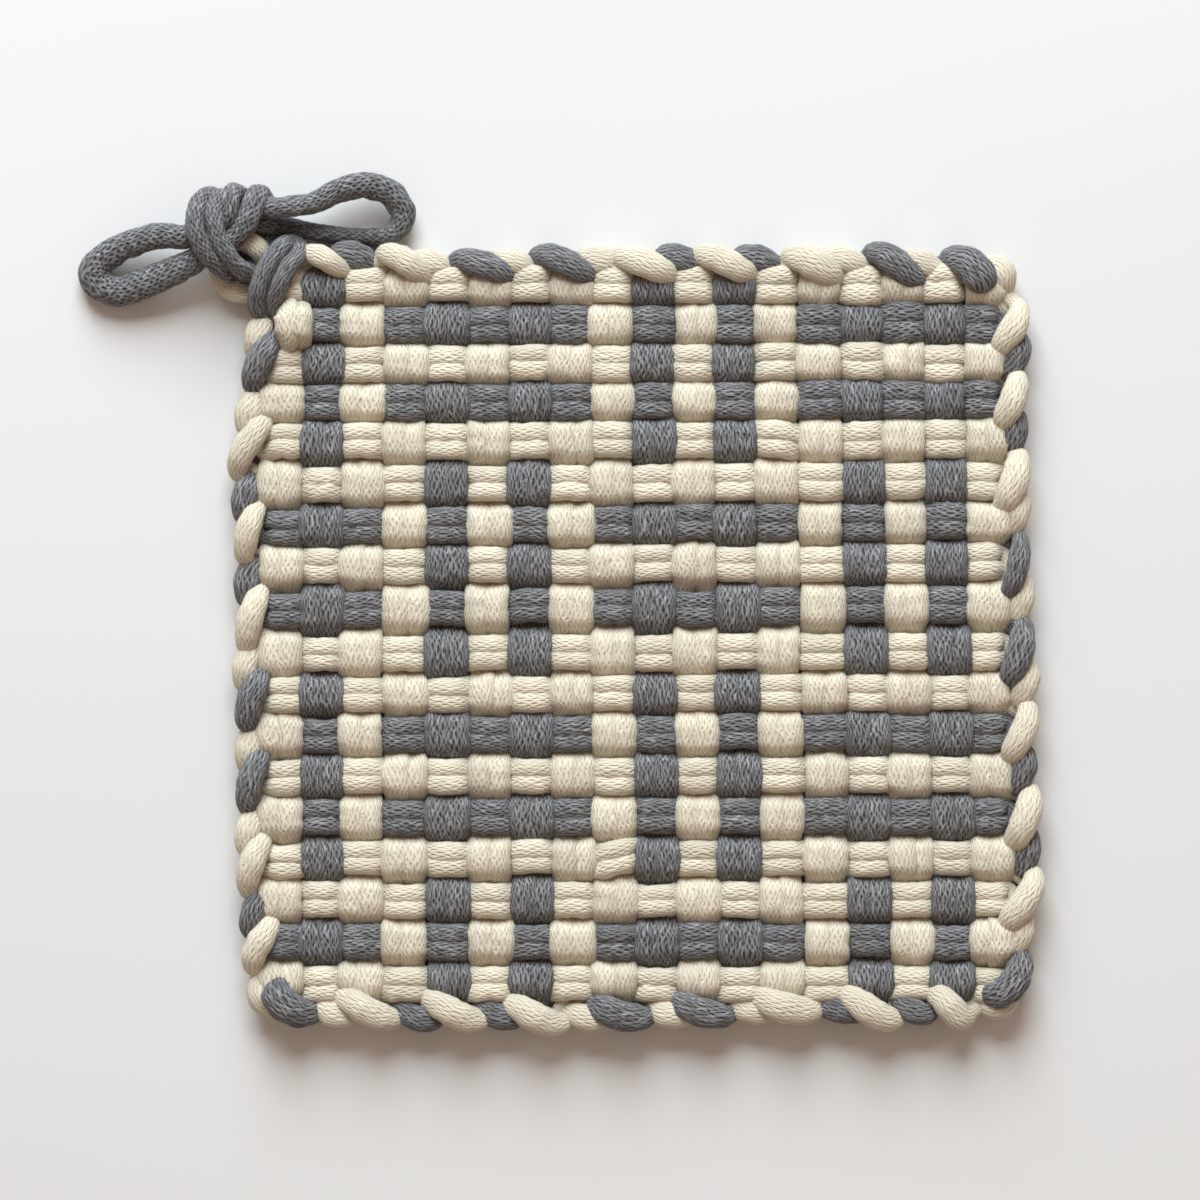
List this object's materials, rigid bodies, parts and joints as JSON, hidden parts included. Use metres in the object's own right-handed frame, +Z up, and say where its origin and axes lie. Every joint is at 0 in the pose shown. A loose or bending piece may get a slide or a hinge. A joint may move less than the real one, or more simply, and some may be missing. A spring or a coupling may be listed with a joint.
{
  "type": "woven potholder",
  "caption": "Square potholder woven from doubled cotton loops in a cream and grey log cabin pattern, with a chained edge and a knotted tie on one corner.",
  "frame": {"origin": "centre of the woven square and its corner loop's footprint, on the surface that it lies on; the tie is not counted", "axes": "+X right along the weft loops, +Y up along the warp loops towards the edge with the tie's corner, +Z up out of the mat's face"},
  "size_m": [0.1829, 0.1625, 0.0139],
  "materials": {
    "cream_cotton": "matt knitted cotton",
    "grey_cotton": "matt heathered knitted cotton"
  },
  "bodies": {
    "root": {"warp_01": "cream_cotton", "warp_02": "grey_cotton", "warp_03": "cream_cotton", "warp_04": "cream_cotton", "warp_05": "grey_cotton", "warp_06": "cream_cotton", "warp_07": "grey_cotton", "warp_08": "cream_cotton", "warp_09": "cream_cotton", "warp_10": "grey_cotton", "warp_11": "cream_cotton", "warp_12": "grey_cotton", "warp_13": "cream_cotton", "warp_14": "cream_cotton", "warp_15": "grey_cotton", "warp_16": "cream_cotton", "warp_17": "grey_cotton", "warp_18": "cream_cotton", "weft_01": "cream_cotton", "weft_02": "grey_cotton", "weft_03": "cream_cotton", "weft_04": "grey_cotton", "weft_05": "cream_cotton", "weft_06": "cream_cotton", "weft_07": "grey_cotton", "weft_08": "cream_cotton", "weft_09": "grey_cotton", "weft_10": "cream_cotton", "weft_11": "cream_cotton", "weft_12": "grey_cotton", "weft_13": "cream_cotton", "weft_14": "grey_cotton", "weft_15": "cream_cotton", "weft_16": "cream_cotton", "weft_17": "grey_cotton", "weft_18": "cream_cotton", "chained_edge": "cream_cotton", "end_loop": "cream_cotton", "tie_bow_left": "grey_cotton", "tie_bow_right": "grey_cotton", "tie_knot": "grey_cotton"}
  },
  "joints": []
}
